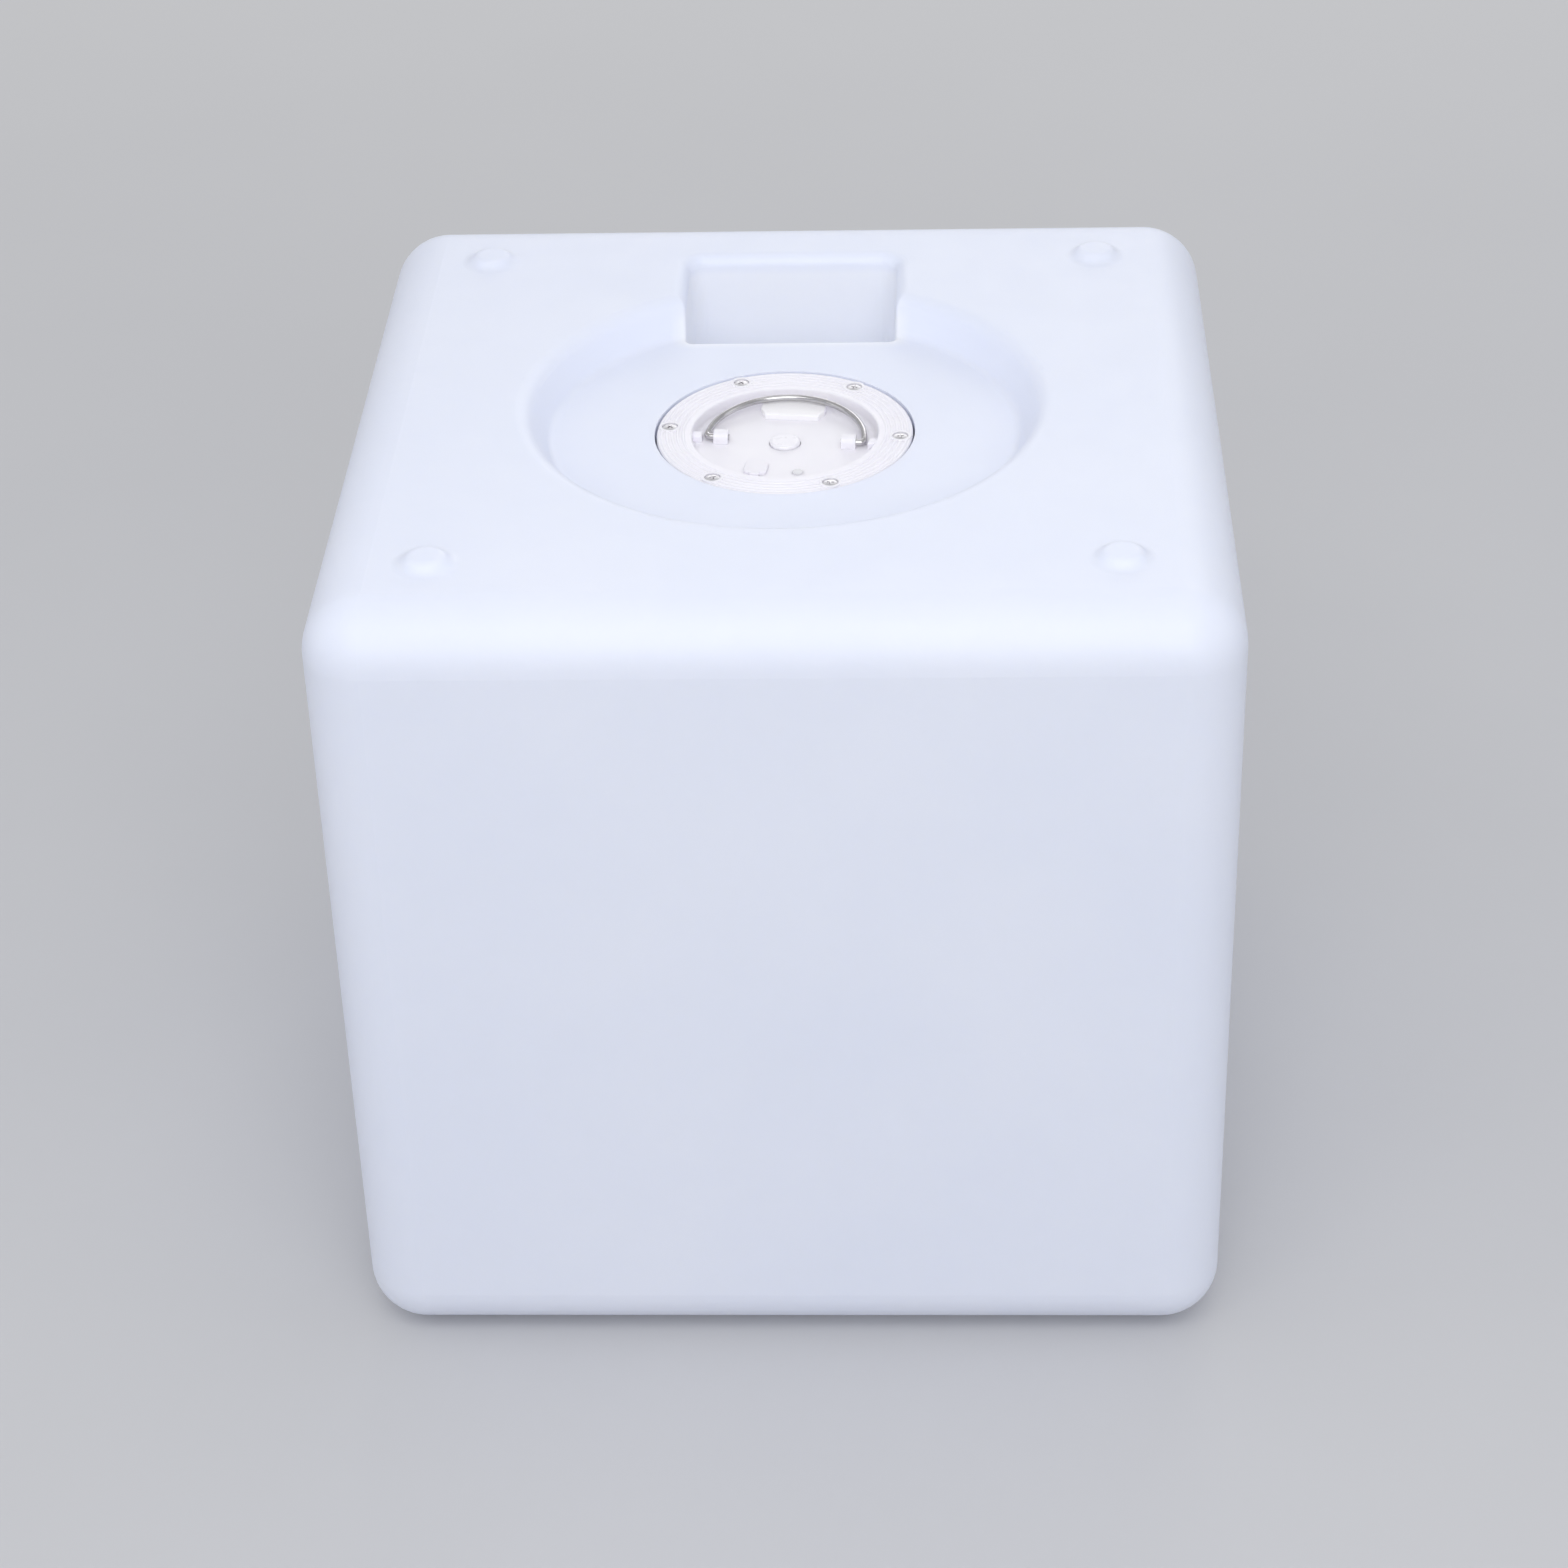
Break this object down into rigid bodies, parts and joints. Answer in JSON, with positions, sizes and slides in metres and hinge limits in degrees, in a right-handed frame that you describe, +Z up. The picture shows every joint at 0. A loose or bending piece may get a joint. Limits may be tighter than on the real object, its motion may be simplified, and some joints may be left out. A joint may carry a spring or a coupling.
{
  "type": "led light-up cube stool",
  "caption": "Rounded cube stool that lights up: moulded shell with a sealed lamp module in a round recess of its base, a folding wire handle and a hand-grip pocket.",
  "frame": {"origin": "on the floor, at the middle of the seat face, with the stool turned over as the picture shows it", "axes": "+Z up out of the base face with its recess, +Y towards the hand-grip pocket, +X to the right seen from the side opposite the pocket. In use the stool is turned over onto its feet."},
  "size_m": [0.4, 0.4, 0.397],
  "materials": {
    "milky_polyethylene": "satin moulded polyethylene",
    "cover_plastic": "satin moulded plastic",
    "button_plastic": "satin moulded plastic",
    "soft_plug": "matte soft plug",
    "polished_wire": "polished",
    "dark_screw_steel": "dark, dry",
    "bright_screw_steel": "plated",
    "insert_brass": "turned",
    "seal_rubber": "matte",
    "module_plastic": "moulded",
    "switch_black": "moulded",
    "light_pipe_clear": "clear",
    "lamp_yellow": "glossy",
    "board_green": "solder mask",
    "board_white": "white solder mask",
    "connector_white": "moulded",
    "cell_wrap": "shrink wrap",
    "lead_red": "matte",
    "lead_grey": "matte",
    "dome_milky": "milky diffuser"
  },
  "bodies": {
    "cube": {"body_shell": "milky_polyethylene", "threaded_inserts": "insert_brass", "housing_gasket": "seal_rubber", "module_housing": "module_plastic", "cover_gasket": "seal_rubber", "cover_plate": "cover_plastic", "cover_screws": "dark_screw_steel", "button_seal": "seal_rubber", "switch_body": "switch_black", "charge_socket": "switch_black", "charge_indicator_lens": "light_pipe_clear", "indicator_led": "lamp_yellow", "control_board": "board_green", "board_screws": "bright_screw_steel", "board_connectors": "connector_white", "battery_cells": "cell_wrap", "battery_clamp": "module_plastic", "clamp_screws": "bright_screw_steel", "battery_lead": "lead_red", "led_lead": "lead_grey", "led_board": "board_white", "leds": "lamp_yellow", "led_board_screws": "bright_screw_steel", "lens_seal": "seal_rubber", "lens_dome": "dome_milky", "lens_screws": "bright_screw_steel"},
    "handle": {"carry_handle": "polished_wire"},
    "button": {"power_button": "button_plastic", "switch_plunger": "switch_black"},
    "plug": {"charge_port_plug": "soft_plug"}
  },
  "joints": [
    {"name": "handle_swing", "type": "hinge", "parent": "cube", "child": "handle", "pos_m": [0, 0, 0.3715], "axis": [0.9949, -0.1011, 0], "range_deg": [0, 170]},
    {"name": "power_button_press", "type": "slide", "parent": "cube", "child": "button", "axis": [0, 0, -1], "range_m": [0, 0.0012], "stiffness_N_per_m": 1800, "springref_m": -0.0005},
    {"name": "charge_plug_pull", "type": "slide", "parent": "cube", "child": "plug", "axis": [0, 0, 1], "range_m": [0, 0.012]}
  ]
}
